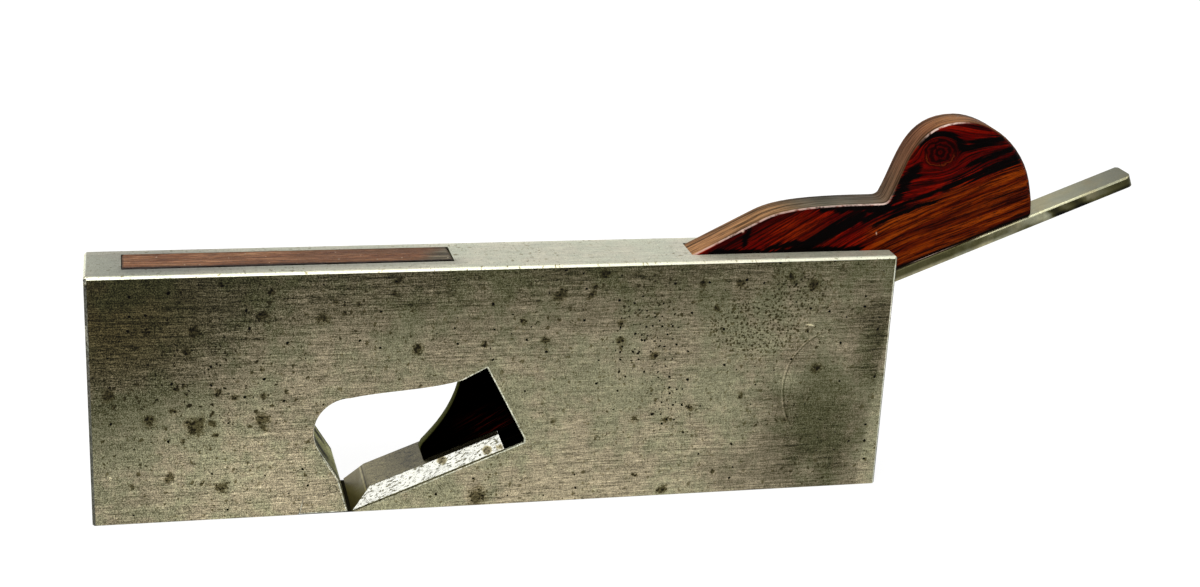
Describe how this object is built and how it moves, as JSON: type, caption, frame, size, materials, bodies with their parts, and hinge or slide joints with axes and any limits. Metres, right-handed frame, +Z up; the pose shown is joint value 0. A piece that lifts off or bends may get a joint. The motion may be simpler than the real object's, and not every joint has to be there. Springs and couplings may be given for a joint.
{
  "type": "rabbet plane",
  "caption": "Narrow steel-bodied rabbet plane with a rosewood nose, a full-width tapered iron at a low angle and a rosewood wedge with a rounded finial.",
  "frame": {"origin": "on the sole at mid length of the body and mid width, in front of which the mouth opens", "axes": "+X from the toe to the heel along the sole, +Z up away from the sole, +Y towards the far cheek"},
  "size_m": [0.3039, 0.0222, 0.1107],
  "materials": {
    "body_steel": "old grey-olive patina, ground and pitted",
    "rivet_steel": "peened and ground flush",
    "infill_wood": "oiled rosewood",
    "iron_metal": "brown-grey wrought iron, bright side edges",
    "edge_steel": "ground cutting steel",
    "wedge_wood": "polished striped rosewood"
  },
  "bodies": {
    "stock": {"near_cheek": "body_steel", "far_cheek": "body_steel", "front_sole": "body_steel", "rear_sole": "body_steel", "toe_block": "body_steel", "throat_block": "body_steel", "bridge_block": "body_steel", "heel_block": "body_steel", "nose_infill": "infill_wood", "bed_infill": "infill_wood", "toe_rivets": "rivet_steel", "throat_rivets": "rivet_steel", "bridge_rivets": "rivet_steel", "heel_rivets": "rivet_steel", "nose_pins": "rivet_steel", "bed_pins": "rivet_steel"},
    "iron": {"iron": "iron_metal", "cutting_steel": "edge_steel"},
    "wedge": {"wedge": "wedge_wood"}
  },
  "joints": [
    {"name": "iron_slide", "type": "slide", "parent": "stock", "child": "iron", "axis": [0.932, 0, 0.3624], "range_m": [-0.0011, 0.005]},
    {"name": "wedge_slide", "type": "slide", "parent": "stock", "child": "wedge", "axis": [0.932, 0, 0.3624], "range_m": [0, 0.15]}
  ]
}
